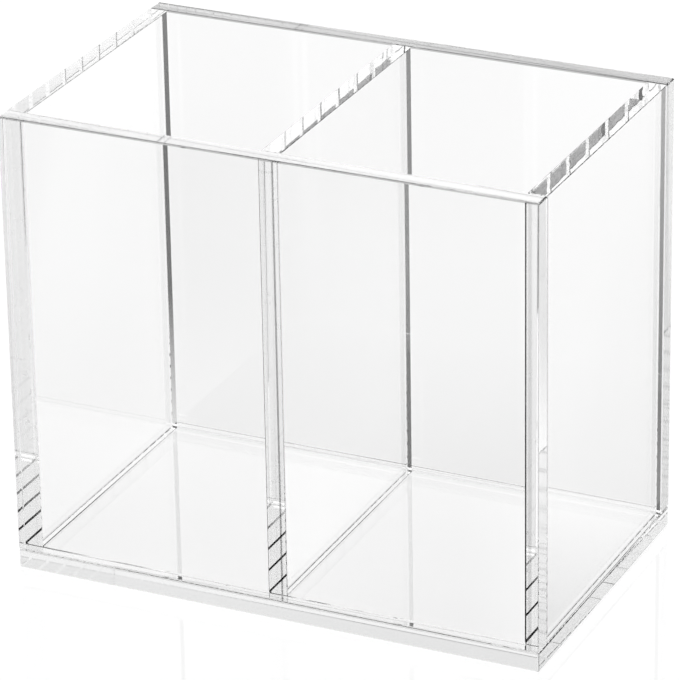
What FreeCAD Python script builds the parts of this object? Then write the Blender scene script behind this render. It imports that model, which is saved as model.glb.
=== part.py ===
import FreeCAD, Part
import os
import Sketcher

# A clear pen holder with two compartments, cemented together from six sheets.
# Millimetres. +Z is up, +X runs along the longer side and the front faces -Y.
# The origin is the middle of the underside.

# The driving sizes: name, millimetres, and what each one measures.
SIZES = [
    ("outer_width", 110.0, "whole box along X"),
    ("outer_depth", 67.0, "whole box along Y"),
    ("outer_height", 95.0, "whole box along Z, base included"),
    ("wall_sheet", 4.0, "thickness of the four outer walls"),
    ("divider_sheet", 4.0, "thickness of the divider"),
    ("base_sheet", 4.0, "thickness of the base"),
    ("bond_line", 0.1, "thickness of the cured cement in a joint"),
    ("arris", 0.3, "flat worked along each exposed edge of a sheet"),
]

# The base lies under all the walls. The front and back walls run the full width.
# The side walls and the divider stand between them, one cement joint short at each end.
WALL_HEIGHT = "sizes.outer_height - sizes.base_sheet - sizes.bond_line"
WALL_MIDDLE_Z = "(sizes.outer_height + sizes.base_sheet + sizes.bond_line) / 2"
LONG_WALL_Y = "(sizes.outer_depth - sizes.wall_sheet) / 2"
SIDE_WALL_X = "(sizes.outer_width - sizes.wall_sheet) / 2"
SIDE_LENGTH = "sizes.outer_depth - 2 * (sizes.wall_sheet + sizes.bond_line)"

# The cement under a wall covers its foot. The cement of an upright joint runs from
# the base to where the arris of the long wall begins.
FOOT_SEAM_Z = "sizes.base_sheet + sizes.bond_line / 2"
UPRIGHT_SEAM_HEIGHT = "sizes.outer_height - sizes.base_sheet - sizes.arris"
UPRIGHT_SEAM_Z = "(sizes.outer_height + sizes.base_sheet - sizes.arris) / 2"
UPRIGHT_SEAM_Y = "sizes.outer_depth / 2 - sizes.wall_sheet - sizes.bond_line / 2"

ON_AXIS = "0"
PLANE_TOLERANCE = 0.001
OUTPUT_FOLDER = "parts"


def add_size_sheet(document):
    """The spreadsheet of driving sizes, one named cell each."""
    sheet = document.addObject("Spreadsheet::Sheet", "sizes")
    for row, (name, value, meaning) in enumerate(SIZES, 1):
        sheet.set(f"A{row}", name)
        sheet.set(f"B{row}", str(value))
        sheet.set(f"C{row}", meaning)
        sheet.setAlias(f"B{row}", name)
    document.recompute()
    return sheet


def origin_plane(body, role):
    """One of the three planes of a body's own origin."""
    return next(item for item in body.Origin.OriginFeatures if item.Role == role)


def add_outline(body, plane, width, height):
    """A sketched rectangle, centred on the origin of the given plane."""
    sketch = body.newObject("Sketcher::SketchObject", body.Name + "_outline")
    sketch.AttachmentSupport = [(origin_plane(body, plane), "")]
    sketch.MapMode = "FlatFace"
    corners = [(-1, -1), (1, -1), (1, 1), (-1, 1)]
    points = [FreeCAD.Vector(x, y, 0) for x, y in corners]
    for start, end in zip(points, points[1:] + points[:1]):
        sketch.addGeometry(Part.LineSegment(start, end), False)
    for line in range(4):
        sketch.addConstraint(Sketcher.Constraint("Coincident", line, 2, (line + 1) % 4, 1))
    for line, direction in enumerate(["Horizontal", "Vertical", "Horizontal", "Vertical"]):
        sketch.addConstraint(Sketcher.Constraint(direction, line))
    sketch.addConstraint(Sketcher.Constraint("Symmetric", 0, 1, 1, 2, -1, 1))
    for name, kind, line, size in [
        ("width", "DistanceX", 0, width),
        ("height", "DistanceY", 1, height),
    ]:
        number = sketch.addConstraint(Sketcher.Constraint(kind, line, 1, line, 2, 2.0))
        sketch.renameConstraint(number, name)
        sketch.setExpression("Constraints." + name, size)
    return sketch


def side_of(value):
    """-1, 0 or 1: on which side of the middle a coordinate lies."""
    return (value > PLANE_TOLERANCE) - (value < -PLANE_TOLERANCE)


def add_arris(body, feature, is_exposed):
    """Work a small flat along the edges that is_exposed picks by the side they lie on."""
    exposed = []
    for number, edge in enumerate(feature.Shape.Edges, 1):
        middle = edge.CenterOfMass
        if is_exposed(side_of(middle.x), side_of(middle.y), side_of(middle.z)):
            exposed.append(f"Edge{number}")
    chamfer = body.newObject("PartDesign::Chamfer", body.Name + "_arris")
    chamfer.Base = (feature, exposed)
    chamfer.setExpression("Size", "sizes.arris")


def add_slab(document, name, plane, width, height, thickness, place, is_exposed=None):
    """One flat piece: an outline in its plane, its thickness, its arrises and its place."""
    body = document.addObject("PartDesign::Body", name)
    body.Label = name
    pad = body.newObject("PartDesign::Pad", name + "_thickness")
    pad.Profile = add_outline(body, plane, width, height)
    pad.SideType = "Symmetric"
    pad.setExpression("Length", thickness)
    document.recompute()
    if is_exposed is not None:
        add_arris(body, pad, is_exposed)
    for axis, position in zip("xyz", place):
        body.setExpression("Placement.Base." + axis, position)
    return body


def base_panel(document):
    """The base. Its top edges are in the joints, and the others are worked."""
    return add_slab(
        document,
        "base_panel",
        "XY_Plane",
        "sizes.outer_width",
        "sizes.outer_depth",
        "sizes.base_sheet",
        (ON_AXIS, ON_AXIS, "sizes.base_sheet / 2"),
        lambda x, y, z: z <= 0,
    )


def long_wall(document, name, outward):
    """The front or back wall. Its rim and its two outer upright edges are worked."""
    return add_slab(
        document,
        name,
        "XZ_Plane",
        "sizes.outer_width",
        WALL_HEIGHT,
        "sizes.wall_sheet",
        (ON_AXIS, f"{outward} * {LONG_WALL_Y}", WALL_MIDDLE_Z),
        lambda x, y, z: z > 0 or (z == 0 and y == outward),
    )


def cross_wall(document, name, thickness, place_x):
    """A side wall or the divider. Only the two long edges of its rim are worked."""
    return add_slab(
        document,
        name,
        "YZ_Plane",
        SIDE_LENGTH,
        WALL_HEIGHT,
        thickness,
        (place_x, ON_AXIS, WALL_MIDDLE_Z),
        lambda x, y, z: z > 0 and x != 0,
    )


def long_foot_seam(document, name, outward):
    """The cement under the front or back wall, with that wall's plan."""
    return add_slab(
        document,
        name,
        "XY_Plane",
        "sizes.outer_width",
        "sizes.wall_sheet",
        "sizes.bond_line",
        (ON_AXIS, f"{outward} * {LONG_WALL_Y}", FOOT_SEAM_Z),
        lambda x, y, z: z == 0 and y == outward,
    )


def cross_foot_seam(document, name, thickness, place_x):
    """The cement under a side wall or the divider."""
    place = (place_x, ON_AXIS, FOOT_SEAM_Z)
    return add_slab(document, name, "XY_Plane", thickness, SIDE_LENGTH, "sizes.bond_line", place)


def upright_seam(document, name, thickness, place_x, outward):
    """The cement between the end of a cross wall and a long wall."""
    place = (place_x, f"{outward} * ({UPRIGHT_SEAM_Y})", UPRIGHT_SEAM_Z)
    return add_slab(
        document, name, "XZ_Plane", thickness, UPRIGHT_SEAM_HEIGHT, "sizes.bond_line", place
    )


def check_pieces(document, pieces):
    """Stop if a feature has failed or a piece is not one valid solid."""
    for item in document.Objects:
        if "Invalid" in item.State or "Error" in item.State:
            raise RuntimeError(f"{item.Name} did not build: {item.State}")
    for piece in pieces:
        shape = piece.Shape
        if shape.isNull() or not shape.isValid() or len(shape.Solids) != 1:
            raise RuntimeError(f"{piece.Label} is not one valid solid")
        print(f"{piece.Label}: {shape.Volume:.3f} mm3")


def build():
    """Build the holder and write each piece to a file of its own."""
    document = FreeCAD.newDocument("pen_holder")
    add_size_sheet(document)
    long_sides = [("front", -1), ("back", 1)]
    cross_sides = [
        ("left", "sizes.wall_sheet", f"-{SIDE_WALL_X}"),
        ("divider", "sizes.divider_sheet", ON_AXIS),
        ("right", "sizes.wall_sheet", SIDE_WALL_X),
    ]

    pieces = [base_panel(document)]
    for side, outward in long_sides:
        pieces.append(long_wall(document, f"{side}_panel", outward))
        pieces.append(long_foot_seam(document, f"seam_base_{side}", outward))
    for cross, thickness, place_x in cross_sides:
        pieces.append(cross_wall(document, f"{cross}_panel", thickness, place_x))
        pieces.append(cross_foot_seam(document, f"seam_base_{cross}", thickness, place_x))
        for side, outward in long_sides:
            name = f"seam_{side}_{cross}"
            pieces.append(upright_seam(document, name, thickness, place_x, outward))

    document.recompute()
    check_pieces(document, pieces)
    os.makedirs(OUTPUT_FOLDER, exist_ok=True)
    for piece in pieces:
        piece.Shape.exportStep(f"{OUTPUT_FOLDER}/{piece.Label}.step")


build()
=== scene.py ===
import math

import bmesh
import bpy
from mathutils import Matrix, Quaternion, Vector


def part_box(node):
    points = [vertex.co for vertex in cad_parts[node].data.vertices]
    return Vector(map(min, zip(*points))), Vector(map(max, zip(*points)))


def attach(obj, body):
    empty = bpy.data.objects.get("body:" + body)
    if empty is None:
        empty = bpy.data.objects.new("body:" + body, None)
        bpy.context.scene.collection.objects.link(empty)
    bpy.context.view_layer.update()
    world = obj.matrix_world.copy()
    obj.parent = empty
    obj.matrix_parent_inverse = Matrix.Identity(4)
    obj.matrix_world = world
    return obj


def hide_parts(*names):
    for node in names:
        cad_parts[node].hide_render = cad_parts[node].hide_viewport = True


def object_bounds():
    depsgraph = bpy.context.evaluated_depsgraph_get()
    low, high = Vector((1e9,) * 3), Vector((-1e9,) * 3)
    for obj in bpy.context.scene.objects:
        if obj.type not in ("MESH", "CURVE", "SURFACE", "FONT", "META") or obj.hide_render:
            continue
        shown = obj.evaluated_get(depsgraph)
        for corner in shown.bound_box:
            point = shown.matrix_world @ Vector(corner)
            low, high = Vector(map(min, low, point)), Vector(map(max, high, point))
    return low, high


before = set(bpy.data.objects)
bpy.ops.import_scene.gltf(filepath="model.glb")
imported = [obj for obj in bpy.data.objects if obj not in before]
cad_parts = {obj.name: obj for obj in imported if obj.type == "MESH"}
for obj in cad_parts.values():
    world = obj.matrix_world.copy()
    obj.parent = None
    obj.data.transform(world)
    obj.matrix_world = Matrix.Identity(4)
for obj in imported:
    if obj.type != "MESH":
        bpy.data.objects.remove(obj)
cad_low, cad_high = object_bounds()

PANELS = ["base_panel", "front_panel", "back_panel", "left_panel", "divider_panel", "right_panel"]
X, Y, Z = range(3)

# Clear acrylic: how much light each finish of a sheet lets through
ACRYLIC_IOR = 1.49
FACE_TINT = 0.994
BASE_TINT = 0.991
EDGE_TINT = 0.99
# Painted shade: the top edge of the back wall is greyed
RIM_TINT = 0.86
FRONT_RIM_TINT = 0.965
# Painted shade: the right end of the back wall is greyed
BACK_END_SHADE_TINT = 0.86
# Painted shade: grey and dark lines along worked edges and corners
SOFT_EDGE_SHADE_TINT = 0.8
EDGE_LINE_SHADE_TINT = 0.6
CORNER_SHADE_TINT = 0.03
# Painted shade: a nearly black arris along each foot
FOOT_SHADE_TINT = 0.03
TINT_VARIATION = 0.004

# Painted shade: the arris of a foot is tinted nearly black, so that its reflections inside the sheets show
# as dark lines, but it is clear where it is looked at square on
FOOT_FACING_TINT = 0.85
FACING_RANGE = 0.35, 0.5

# Fades of a tint: the axis, where it starts and ends, and the tint at its end
# The painted shade of the back wall's top edge darkens towards the right
RIM_SHADE_FADE = X, -0.04, 0.02, 0.688
# The painted shade of the feet lightens towards the back
FOOT_SHADE_FADE = Y, 0.009, 0.019, 0.5
LEFT_FOOT_SHADE_FADE = Y, -0.012, 0.026, 0.6

# Painted shade as upright dark lines in the front ends of two walls: middle in X, half the width, tint
DIVIDER_SHADE_LINE = 0.00092, 0.00025, 0.4
RIGHT_SHADE_LINE = 0.0522, 0.0005, 0.78

# Unevenness: noise per metre along each axis, its detail, and the strength and height of its bump
FACE_GRAIN = (18, 18, 18), 1.0, 0.008, 0.0002
ARRIS_GRAIN = (300, 300, 300), 2.0, 0.1, 0.0001
RIM_GRAIN = (6, 900, 6), 0.0, 0.02, 0.0001
BACK_END_GRAIN = (6, 6, 600), 2.0, 0.02, 0.0001
EDGE_GRAINS = {
    X: ((900, 6, 6), 0.0, 0.02, 0.0001),
    Y: ((6, 900, 6), 0.0, 0.02, 0.0001),
    Z: ((6, 6, 900), 0.0, 0.004, 0.0001),
}
NOISE_LOW, NOISE_HIGH = 0.3, 0.7

# How far the edges of the sheets are worked
RIM_ARRIS, RIM_SEGMENTS = 0.0003, 3
BACK_ARRIS, BACK_SEGMENTS = 0.00045, 3
UPRIGHT_ARRIS = 0.0001
FOOT_ARRIS = 0.0003
# The left and the right arris of the front end of a wall
FRONT_ARRISES = {
    "left_panel": (0.00015, 0.00006),
    "divider_panel": (0.00018, 0.00015),
    "right_panel": (0.0005, 0.00015),
}
SHARP_ANGLE = 1.0
ALONG_SHARE, SHORTEST_LONG_EDGE = 0.9, 0.002
ON_PLANE = 1e-5
CUT_REACH = 1e-7
# Parts of a unit normal by which a side counts as square to an axis or as turned towards it
SQUARE, TURNED = 0.99, 0.1

# Painted highlight: a white band low on the back end of a wall, just above its foot. The renderer brings
# no scattered light out through the clear sheets, so the band glows by itself.
HIGHLIGHT_LOW, HIGHLIGHT_HIGH = 0.00025, 0.0007
HIGHLIGHT_NOISE = 2500.0
HIGHLIGHT_TINTS = 0.9, 1.0
HIGHLIGHT_ROUGHNESS = 0.6
HIGHLIGHT_GLOW = 1.0

# Cement film, a little thinner than its gap so that no faces touch
CEMENT_INSET = 0.00001
CEMENT_CLEAR, SPECK_WHITE = 0.998, 0.9
SPECK_NOISE, SPECK_DETAIL = 900.0, 3.0
SPECK_RAMP = 0.66, 0.76, 0.0, 0.2

# Stage: a pale floor and backdrop, and brightnesses of the studio that the sheets reflect
FLOOR_SIZE = 6.0
FLOOR_Z = -0.00002
FLOOR_GLOSS = 0.15
GLOSS_ROUGHNESS = 0.03
WHITE = 1.07
DARK = 0.05
BELOW = 1.3

# How often light was reflected in the sheets, or went through them, before it meets the stage.
# Each limit lies between two whole counts.
REFLECTED = 0.5
DEEP = 6.5
END_REFLECTIONS = 3.5, 7.5
BASE_END_REFLECTIONS = 5.5
CROSSED = 0.5
OUTER_FACE_CROSSINGS = 1.5
FRONT_CROSSINGS = 2.5
SCATTERED_WEIGHT = -99.0

# Ramps on the floor and across the backdrop: start, end, value at the start, value at the end
BEHIND_RAMP = -0.04, 0.04, 0.0, 1.0
FAR_RAMP = -0.05, -0.2, 0.0, 1.0
FAR_LEFT_RAMP = -0.13, -0.04, 0.35, 0.85
LEFT_CORNER_RAMP = -0.004, 0.0, 0.25, 1.0
LEFT_SIDE_RAMP = -0.03, 0.03, 1.25, 0.95
RIGHT_SIDE_END, RIGHT_SIDE_SHADE = 0.15, 0.7
END_X_RAMP = -0.05, 0.06, 0.0, 1.0
END_Y_RANGE = 0.035, 0.185
UNDER_LEFT_RAMP = -0.02, -0.045, 0.0, 0.9
UNDER_FRONT_RAMP = -0.01, 0.02, 1.0, 0.75
BACK_FOOT_RAMP = -0.055, 0.0, 1.1, 0.6
SHADE_X_RAMP = -0.02, 0.05, 0.3, 1.0
SHADE_BEHIND_RAMP = 0.035, 0.1, 0.12, 0.04
SHADE_FAR_RAMP = 0.16, 0.21, 1.0, 0.1
SHADE_UNDER_RAMP = -0.033, 0.033, 0.09, 0.03
SHADE_CORNER_RAMP = 0.055, 0.1, 1.0, 0.15
SKY_BEHIND_RAMP = -0.75, -0.5, 0.0, 1.0
SKY_LEFT_RAMP = 0.1, -0.1, 0.0, 1.0

# Slanting limits on the floor: x plus a share of y, or y plus a share of x
LEFT_CORNER_SLOPE, LEFT_CORNER_OFFSET = -0.4675, 0.0446
SHADE_CORNER_SLOPE = 2.126

# Single brightnesses and shares of brightness
FAR_BEHIND_SHEETS = 0.15
DEEP_FRONT = 0.85
END_NEAR_LEFT, END_NEAR_RIGHT = 0.97, 0.935
END_FAR_LEFT, END_FAR_RIGHT = 1.07, 0.98
BASE_END_SHARE = 0.93
UNDER_SHADE = 0.028
SKY_END_SHARE = 0.935

# Camera at the photograph's viewing angle
CAMERA_AZIMUTH = 25.235
CAMERA_ELEVATION = 24.298
CAMERA_ROLL = -1.029
CAMERA_DISTANCE = 0.8921
CAMERA_TARGET = Vector((0, 0, 0.0475))
FOCAL_PX = 4617.0
IMAGE_WIDTH, IMAGE_HEIGHT = 679, 680
CENTRE_PX = (342.385, 326.231)
SENSOR = 36.0
CLIP_START, CLIP_END = 0.01, 20

# Light paths long enough for the reflections inside the sheets
MOST_BOUNCES = 64
MOST_REFLECTIONS = 48


def grey(value):
    return (value, value, value, 1)


class Nodes:
    """The node tree of a material or of the world, with short calls for what it repeats."""

    def __init__(self, owner, output_kind):
        owner.use_nodes = True
        self.tree = owner.node_tree
        self.tree.nodes.clear()
        self.output = self.tree.nodes.new(output_kind)

    def add(self, kind, *inputs, **settings):
        """A node with its properties set and its inputs set or linked in order."""
        node = self.tree.nodes.new(kind)
        for key, value in settings.items():
            setattr(node, key, value)
        for socket, value in zip(node.inputs, inputs):
            self.feed(socket, value)
        return node

    def feed(self, socket, value):
        """Set an input, or link it."""
        if isinstance(value, bpy.types.NodeSocket):
            self.tree.links.new(value, socket)
        elif value is not None:
            socket.default_value = value

    def finish(self, shader):
        self.tree.links.new(shader.outputs[0], self.output.inputs["Surface"])

    def calculate(self, operation, *values):
        return self.add("ShaderNodeMath", *values, operation=operation).outputs[0]

    def product(self, first, *others):
        for other in others:
            first = self.calculate("MULTIPLY", first, other)
        return first

    def largest(self, first, *others):
        for other in others:
            first = self.calculate("MAXIMUM", first, other)
        return first

    def above(self, value, limit):
        """1 where a value is above a limit, or else 0."""
        return self.calculate("GREATER_THAN", value, limit)

    def below(self, value, limit):
        return self.calculate("LESS_THAN", value, limit)

    def ramp(self, value, start, end, at_start, at_end):
        """A straight ramp, level before its start and past its end."""
        return self.add("ShaderNodeMapRange", value, start, end, at_start, at_end).outputs[0]

    def blend(self, share, at_none, at_all):
        return self.ramp(share, 0.0, 1.0, at_none, at_all)

    def object_place(self):
        return self.add("ShaderNodeTexCoord").outputs["Object"]

    def along(self, axis):
        """The place on the object along one axis."""
        return self.add("ShaderNodeSeparateXYZ", self.object_place()).outputs[axis]

    def noise(self, place, scale, detail=None):
        noise = self.add("ShaderNodeTexNoise", place)
        noise.inputs["Scale"].default_value = scale
        if detail is not None:
            noise.inputs["Detail"].default_value = detail
        return noise.outputs[0]

    def reflected_inside(self, path):
        """1 for light that was reflected in the sheets and not scattered on its way."""
        count = self.calculate(
            "MULTIPLY_ADD", path.outputs["Diffuse Depth"], SCATTERED_WEIGHT, path.outputs["Glossy Depth"]
        )
        return self.above(count, REFLECTED)

    def from_an_end(self, reflections):
        """1 for light with as many reflections as it has in the end of a sheet."""
        fewest, most = END_REFLECTIONS
        return self.product(self.above(reflections, fewest), self.below(reflections, most))


# Materials


def acrylic(name, tint, grain, fade=None, facing=None, line=None):
    """Clear acrylic whose tint and surface vary with the same noise."""
    material = bpy.data.materials.new(name)
    nodes = Nodes(material, "ShaderNodeOutputMaterial")
    scale, detail, strength, distance = grain
    stretched = nodes.add("ShaderNodeMapping", nodes.object_place())
    stretched.inputs["Scale"].default_value = scale
    height = nodes.noise(stretched.outputs[0], 1.0, detail)
    shade = nodes.ramp(
        height, NOISE_LOW, NOISE_HIGH, tint * (1 - TINT_VARIATION), tint * (1 + TINT_VARIATION)
    )
    # The fade, the facing tint and the line paint shade into the tint
    if fade is not None:
        axis, start, end, end_tint = fade
        shade = nodes.ramp(nodes.along(axis), start, end, shade, end_tint)
    if facing is not None:
        slant = nodes.add("ShaderNodeLayerWeight", 0.5).outputs["Facing"]
        shade = nodes.ramp(slant, *FACING_RANGE, facing, shade)
    if line is not None:
        middle, half, shade_line_tint = line
        off = nodes.calculate("ABSOLUTE", nodes.calculate("SUBTRACT", nodes.along(X), middle))
        shade = nodes.product(shade, nodes.ramp(off, half / 2, half, shade_line_tint, 1.0))
    bump = nodes.add("ShaderNodeBump")
    bump.inputs["Strength"].default_value = strength
    bump.inputs["Distance"].default_value = distance
    nodes.feed(bump.inputs["Height"], height)
    glass = nodes.add("ShaderNodeBsdfGlass")
    glass.inputs["Roughness"].default_value = 0.0
    glass.inputs["IOR"].default_value = ACRYLIC_IOR
    nodes.feed(glass.inputs["Color"], nodes.add("ShaderNodeCombineColor", shade, shade, shade).outputs[0])
    nodes.feed(glass.inputs["Normal"], bump.outputs[0])
    nodes.finish(glass)
    return material


def cement():
    """Cured cement: clear, with small specks and bubbles that catch the light."""
    material = bpy.data.materials.new("acrylic_cement")
    nodes = Nodes(material, "ShaderNodeOutputMaterial")
    specks = nodes.ramp(nodes.noise(nodes.object_place(), SPECK_NOISE, SPECK_DETAIL), *SPECK_RAMP)
    clear = nodes.add("ShaderNodeBsdfTransparent", grey(CEMENT_CLEAR))
    speck = nodes.add("ShaderNodeBsdfDiffuse", grey(SPECK_WHITE))
    nodes.finish(nodes.add("ShaderNodeMixShader", specks, clear.outputs[0], speck.outputs[0]))
    return material


def painted_highlight():
    """A painted highlight: a white band that glows on the back end of a wall above its foot."""
    material = bpy.data.materials.new("painted_highlight")
    nodes = Nodes(material, "ShaderNodeOutputMaterial")
    shade = nodes.ramp(nodes.noise(nodes.object_place(), HIGHLIGHT_NOISE), NOISE_LOW, NOISE_HIGH, *HIGHLIGHT_TINTS)
    colour = nodes.add("ShaderNodeCombineColor", shade, shade, shade).outputs[0]
    white = nodes.add("ShaderNodeBsdfPrincipled", colour)
    white.inputs["Roughness"].default_value = HIGHLIGHT_ROUGHNESS
    white.inputs["Emission Color"].default_value = grey(1)
    white.inputs["Emission Strength"].default_value = HIGHLIGHT_GLOW
    nodes.finish(white)
    return material


def sheet_finishes():
    """All finishes of the sheets, by name."""
    finishes = {
        "face": acrylic("clear_acrylic", FACE_TINT, FACE_GRAIN),
        "base_face": acrylic("base_acrylic", BASE_TINT, FACE_GRAIN),
        # The top edge and right end of the back wall are greyed as painted shade
        "rim": acrylic("rim_edge", RIM_TINT, RIM_GRAIN, fade=RIM_SHADE_FADE),
        "front_rim": acrylic("front_rim_edge", FRONT_RIM_TINT, RIM_GRAIN),
        "back_end": acrylic("back_end_edge", BACK_END_SHADE_TINT, BACK_END_GRAIN),
        # The front ends of the divider and the right wall carry a dark line of painted shade
        "divider_end": acrylic("divider_end_edge", EDGE_TINT, FACE_GRAIN, line=DIVIDER_SHADE_LINE),
        "right_end": acrylic("right_end_edge", EDGE_TINT, FACE_GRAIN, line=RIGHT_SHADE_LINE),
        # Worked edges greyed or darkened as painted shade
        "soft": acrylic("soft_edge", SOFT_EDGE_SHADE_TINT, ARRIS_GRAIN),
        "line": acrylic("line_edge", EDGE_LINE_SHADE_TINT, ARRIS_GRAIN),
        "base_line": acrylic("base_line_edge", EDGE_LINE_SHADE_TINT, FACE_GRAIN),
        "corner": acrylic("corner_edge", CORNER_SHADE_TINT, ARRIS_GRAIN),
        "painted_highlight": painted_highlight(),
    }
    # The arrises of the feet carry painted shade
    for name, fade in (("foot", FOOT_SHADE_FADE), ("left_foot", LEFT_FOOT_SHADE_FADE)):
        finishes[name] = acrylic(name + "_edge", FOOT_SHADE_TINT, ARRIS_GRAIN, fade, FOOT_FACING_TINT)
    for axis, grain in EDGE_GRAINS.items():
        finishes["edge", axis] = acrylic("polished_edge_" + "xyz"[axis], EDGE_TINT, grain)
    return finishes


def side_finish(node, thin, n):
    """The finish of a flat side of a sheet that is thin along one axis, from the way it faces."""
    if abs(n[thin]) > SQUARE:
        return "base_face" if node == "base_panel" else "face"
    if n.y < -SQUARE and node in ("divider_panel", "right_panel"):
        return node.replace("_panel", "_end")
    if n.x > SQUARE and node == "back_panel":
        return "back_end"
    if n.z > SQUARE and thin == Y:
        return "rim" if node == "back_panel" else "front_rim"
    return "edge", thin


def arris_finish(node, thin, n):
    """The finish of a worked edge of a sheet, from the way it faces. The dark and grey finishes are
    painted shade.
    """
    in_front, below, above = n.y < -TURNED, n.z < -TURNED, n.z > TURNED
    aside = abs(n.x) > TURNED
    if thin == X and below and aside:
        return "left_foot" if node == "left_panel" else "foot"
    if thin == X and above and n.x > TURNED:
        return "line"
    if thin == X and in_front and aside and node != "left_panel":
        return "corner" if n.x < 0 else "line"
    if thin == Y and in_front and (above or below):
        return "line" if above else "soft"
    if thin == Z and below and n.x > TURNED:
        return "base_line"
    if thin == Z and above and in_front:
        return "soft"
    return "edge", thin


# Pieces


def box_mesh(low, high):
    """A box mesh between two corners."""
    middle, size = (low + high) / 2, high - low
    mesh = bmesh.new()
    bmesh.ops.create_cube(mesh, size=1.0)
    for vert in mesh.verts:
        vert.co = Vector([middle[i] + vert.co[i] * size[i] for i in range(3)])
    return mesh


def place(mesh, name, node, slot, materials):
    """Put a mesh in the scene in the place of a CAD node."""
    data = bpy.data.meshes.new(name)
    mesh.to_mesh(data)
    mesh.free()
    for material in materials:
        data.materials.append(material)
    piece = bpy.data.objects.new(name, data)
    bpy.context.scene.collection.objects.link(piece)
    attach(piece, "root")
    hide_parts(node)


def long_edges(mesh, axis, picks):
    """The long edges along an axis whose middle picks accepts."""
    found = []
    for edge in mesh.edges:
        start, end = (vert.co for vert in edge.verts)
        along = abs((end - start)[axis])
        is_long = along > ALONG_SHARE * (end - start).length and along > SHORTEST_LONG_EDGE
        if is_long and picks((start + end) / 2):
            found.append(edge)
    return found


def work_edges(mesh, edges, width, segments):
    bmesh.ops.bevel(mesh, geom=edges, offset=width, segments=segments, profile=0.5, affect="EDGES")


def work_wall(mesh, node, low, high):
    """Work the edges of a side wall or the divider, and cut the limits of its band of painted highlight.
    """
    middle = (low + high) / 2
    left_arris, right_arris = FRONT_ARRISES[node]
    work_edges(mesh, long_edges(mesh, Z, lambda c: c.y > 0), BACK_ARRIS, BACK_SEGMENTS)
    work_edges(mesh, long_edges(mesh, Z, lambda c: c.y < 0 and c.x < middle.x), left_arris, 1)
    work_edges(mesh, long_edges(mesh, Z, lambda c: c.y < 0 and c.x >= middle.x), right_arris, 1)
    work_edges(mesh, long_edges(mesh, Y, lambda c: c.z < low.z + ON_PLANE), FOOT_ARRIS, 1)
    work_edges(mesh, long_edges(mesh, Y, lambda c: c.z > high.z - ON_PLANE), RIM_ARRIS, RIM_SEGMENTS)
    for height in (HIGHLIGHT_LOW, HIGHLIGHT_HIGH):
        geometry = mesh.verts[:] + mesh.edges[:] + mesh.faces[:]
        limit = Vector((0, 0, low.z + height))
        bmesh.ops.bisect_plane(mesh, geom=geometry, dist=CUT_REACH, plane_co=limit, plane_no=(0, 0, 1))


def work_long_sheet(mesh, thin):
    """Work the edges of the base or of the front or back wall."""
    edges = mesh.edges[:]
    if thin == Y:
        work_edges(mesh, long_edges(mesh, Z, lambda c: True), UPRIGHT_ARRIS, 1)
        edges = [edge for edge in mesh.edges if abs((edge.verts[0].co - edge.verts[1].co).z) < ON_PLANE]
    sharp = [edge for edge in edges if len(edge.link_faces) == 2 and edge.calc_face_angle() > SHARP_ANGLE]
    work_edges(mesh, sharp, RIM_ARRIS, RIM_SEGMENTS)


def finish_of(side, node, thin, foot):
    """The finish of one side or worked edge of a sheet."""
    n = side.normal
    height = side.calc_center_median().z - foot
    # The band of painted highlight above the foot, at the back end of a wall
    if thin == X and n.y > SQUARE and HIGHLIGHT_LOW < height < HIGHLIGHT_HIGH:
        return "painted_highlight"
    if max(abs(part) for part in n) > SQUARE:
        return side_finish(node, thin, n)
    return arris_finish(node, thin, n)


def build_sheets():
    finishes = sheet_finishes()
    for node in PANELS:
        low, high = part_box(node)
        size = high - low
        thin = min(range(3), key=lambda axis: size[axis])
        mesh = box_mesh(low, high)
        if thin == X:
            work_wall(mesh, node, low, high)
        else:
            work_long_sheet(mesh, thin)
        bmesh.ops.recalc_face_normals(mesh, faces=mesh.faces[:])
        used = []
        for side in mesh.faces:
            finish = finish_of(side, node, thin, low.z)
            if finish not in used:
                used.append(finish)
            side.material_index = used.index(finish)
        place(mesh, node + "_sheet", node, "clear_acrylic", [finishes[name] for name in used])


def build_cement():
    material = cement()
    inset = Vector((CEMENT_INSET,) * 3)
    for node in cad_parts:
        if node.startswith("seam_"):
            low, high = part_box(node)
            place(box_mesh(low + inset, high - inset), node + "_film", node, "acrylic_cement", [material])


# Stage


class Spot:
    """A point of the floor and how the light that meets it has come."""

    def __init__(self, nodes):
        self.path = nodes.add("ShaderNodeLightPath")
        self.reflections = self.path.outputs["Glossy Depth"]
        self.crossings = self.path.outputs["Transmission Depth"]
        place = nodes.add("ShaderNodeNewGeometry").outputs["Position"]
        self.x, self.y = nodes.add("ShaderNodeSeparateXYZ", place).outputs[:2]
        in_x = nodes.below(nodes.calculate("ABSOLUTE", self.x), cad_high.x)
        in_y = nodes.below(nodes.calculate("ABSOLUTE", self.y), cad_high.y)
        self.under = nodes.product(in_x, in_y)
        self.deep = nodes.above(self.reflections, DEEP)


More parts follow.
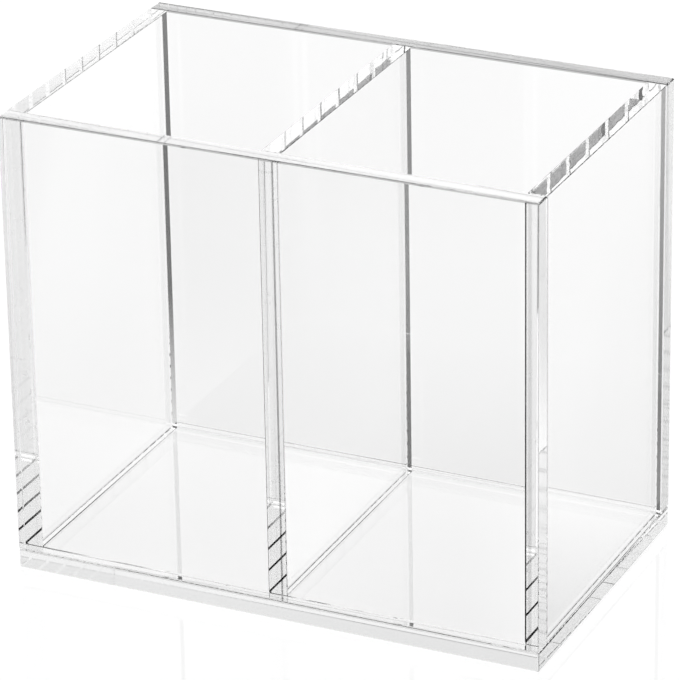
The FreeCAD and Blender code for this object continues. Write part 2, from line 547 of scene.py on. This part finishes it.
def floor_brightness(nodes, spot):
    """The floor for reflected light: dark in front of the box and light behind it."""
    behind = nodes.ramp(spot.y, *BEHIND_RAMP)
    on_left = nodes.product(spot.deep, nodes.below(spot.x, cad_low.x))
    # in front it is lighter far away, for the reflections of the faces
    seen_in_front = nodes.below(spot.crossings, FRONT_CROSSINGS)
    corner = nodes.calculate("ADD", spot.x, LEFT_CORNER_OFFSET)
    corner = nodes.calculate("MULTIPLY_ADD", spot.y, LEFT_CORNER_SLOPE, corner)
    far = nodes.product(
        nodes.ramp(spot.y, *FAR_RAMP),
        nodes.ramp(spot.x, *FAR_LEFT_RAMP),
        nodes.blend(seen_in_front, FAR_BEHIND_SHEETS, 1.0),
        nodes.ramp(corner, *LEFT_CORNER_RAMP),
    )
    bright = nodes.largest(behind, on_left, far, nodes.product(spot.deep, DEEP_FRONT))
    # on the right it is a little darker by the box, for the outer face of the right wall
    on_right = nodes.above(spot.x, cad_high.x)
    outer_face = nodes.product(on_right, nodes.below(spot.crossings, OUTER_FACE_CROSSINGS))
    beside = nodes.ramp(spot.x, cad_high.x, RIGHT_SIDE_END, RIGHT_SIDE_SHADE, 1.0)
    bright = nodes.product(bright, nodes.blend(outer_face, 1.0, beside))
    level = nodes.blend(bright, DARK, WHITE)
    return nodes.blend(on_left, level, nodes.ramp(spot.y, *LEFT_SIDE_RAMP))


def end_brightness(nodes, spot):
    """The floor behind the box, as the ends of the sheets show it."""
    to_right = nodes.ramp(spot.x, *END_X_RAMP)
    near = nodes.blend(to_right, END_NEAR_LEFT, END_NEAR_RIGHT)
    far = nodes.blend(to_right, END_FAR_LEFT, END_FAR_RIGHT)
    level = nodes.ramp(spot.y, *END_Y_RANGE, near, far)
    base_end = nodes.above(spot.reflections, BASE_END_REFLECTIONS)
    return nodes.product(level, nodes.blend(base_end, 1.0, BASE_END_SHARE))


def floor_shade(nodes, spot):
    """The soft shade of the box that shows through its sheets."""
    behind = nodes.product(nodes.ramp(spot.y, *SHADE_BEHIND_RAMP), nodes.ramp(spot.y, *SHADE_FAR_RAMP))
    below = nodes.ramp(spot.y, *SHADE_UNDER_RAMP)
    to_right = nodes.ramp(spot.x, *SHADE_X_RAMP)
    shade = nodes.product(nodes.blend(spot.under, behind, below), to_right)
    shade = nodes.calculate("ADD", shade, nodes.product(spot.under, UNDER_SHADE))
    corner = nodes.calculate("MULTIPLY_ADD", spot.x, SHADE_CORNER_SLOPE, spot.y)
    corner_light = nodes.blend(spot.under, 1.0, nodes.ramp(corner, *SHADE_CORNER_RAMP))
    return nodes.product(shade, corner_light, nodes.above(spot.crossings, CROSSED))


def floor_material():
    """A pale glossy floor, which shows reflected light the studio instead."""
    material = bpy.data.materials.new("pale_floor")
    nodes = Nodes(material, "ShaderNodeOutputMaterial")
    spot = Spot(nodes)
    # under the box the floor is open to reflected light, apart from two patches for deep reflections
    deep_under = nodes.product(spot.under, spot.deep)
    back_foot = nodes.product(deep_under, nodes.above(spot.y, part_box("back_panel")[0].y))
    not_back = nodes.calculate("SUBTRACT", 1.0, back_foot)
    left = nodes.product(
        deep_under, nodes.ramp(spot.x, *UNDER_LEFT_RAMP), nodes.ramp(spot.y, *UNDER_FRONT_RAMP), not_back
    )
    open_under = nodes.calculate("SUBTRACT", nodes.calculate("SUBTRACT", spot.under, left), back_foot)
    at_end = nodes.product(nodes.from_an_end(spot.reflections), nodes.above(spot.y, cad_high.y))
    level = nodes.blend(at_end, floor_brightness(nodes, spot), end_brightness(nodes, spot))
    level = nodes.blend(left, level, BELOW)
    level = nodes.blend(back_foot, level, nodes.ramp(spot.x, *BACK_FOOT_RAMP))
    studio = nodes.add("ShaderNodeEmission", grey(1), level)
    clear = nodes.add("ShaderNodeBsdfTransparent", grey(1))
    reflected = nodes.add("ShaderNodeMixShader", open_under, studio.outputs[0], clear.outputs[0])
    pale = nodes.add("ShaderNodeEmission", grey(1), nodes.blend(floor_shade(nodes, spot), WHITE, 0.0))
    gloss = nodes.add("ShaderNodeBsdfGlossy")
    gloss.inputs["Roughness"].default_value = GLOSS_ROUGHNESS
    shine = nodes.product(nodes.calculate("SUBTRACT", 1.0, spot.under), FLOOR_GLOSS)
    seen = nodes.add("ShaderNodeMixShader", shine, pale.outputs[0], gloss.outputs[0])
    inside = nodes.reflected_inside(spot.path)
    nodes.finish(nodes.add("ShaderNodeMixShader", inside, seen.outputs[0], reflected.outputs[0]))
    return material


def build_floor():
    bpy.ops.mesh.primitive_plane_add(size=FLOOR_SIZE, location=(0, 0, FLOOR_Z))
    floor = bpy.context.object
    floor.name = "floor"
    floor.data.materials.append(floor_material())


def build_world():
    """A white surround, which is dark in front for the light reflected in the sheets."""
    world = bpy.data.worlds.new("studio")
    bpy.context.scene.world = world
    nodes = Nodes(world, "ShaderNodeOutputWorld")
    path = nodes.add("ShaderNodeLightPath")
    reflections = path.outputs["Glossy Depth"]
    direction = nodes.add("ShaderNodeTexCoord").outputs["Generated"]
    x, y, z = nodes.add("ShaderNodeSeparateXYZ", direction).outputs
    up = nodes.above(z, 0.0)
    left_or_up = nodes.largest(nodes.ramp(x, *SKY_LEFT_RAMP), up)
    deep = nodes.product(left_or_up, nodes.above(reflections, DEEP))
    light = nodes.largest(nodes.ramp(y, *SKY_BEHIND_RAMP), deep)
    full = nodes.blend(nodes.below(z, 0.0), WHITE, BELOW)
    end_up = nodes.product(nodes.from_an_end(reflections), up)
    studio = nodes.product(nodes.blend(light, DARK, full), nodes.blend(end_up, 1.0, SKY_END_SHARE))
    strength = nodes.blend(nodes.reflected_inside(path), WHITE, studio)
    nodes.finish(nodes.add("ShaderNodeBackground", grey(1), strength))


def build_camera():
    azimuth = math.radians(CAMERA_AZIMUTH)
    elevation = math.radians(CAMERA_ELEVATION)
    back = Vector(
        (
            math.sin(azimuth) * math.cos(elevation),
            -math.cos(azimuth) * math.cos(elevation),
            math.sin(elevation),
        )
    )
    data = bpy.data.cameras.new("camera")
    camera = bpy.data.objects.new("camera", data)
    bpy.context.scene.collection.objects.link(camera)
    camera.location = CAMERA_TARGET + back * CAMERA_DISTANCE
    camera.rotation_mode = "QUATERNION"
    turn = (-back).to_track_quat("-Z", "Y")
    camera.rotation_quaternion = turn @ Quaternion((0, 0, 1), math.radians(CAMERA_ROLL))
    long_side = max(IMAGE_WIDTH, IMAGE_HEIGHT)
    data.sensor_width = SENSOR
    data.lens = SENSOR * FOCAL_PX / long_side
    data.shift_x = (IMAGE_WIDTH / 2 - CENTRE_PX[0]) / long_side
    data.shift_y = (CENTRE_PX[1] - IMAGE_HEIGHT / 2) / long_side
    data.clip_start = CLIP_START
    data.clip_end = CLIP_END
    bpy.context.scene.camera = camera


def set_up_light_paths():
    scene = bpy.context.scene
    scene.view_settings.view_transform = "Standard"
    scene.cycles.max_bounces = MOST_BOUNCES
    scene.cycles.transmission_bounces = MOST_BOUNCES
    scene.cycles.glossy_bounces = MOST_REFLECTIONS
    scene.cycles.transparent_max_bounces = MOST_BOUNCES


build_sheets()
build_cement()
build_floor()
build_world()
build_camera()
set_up_light_paths()
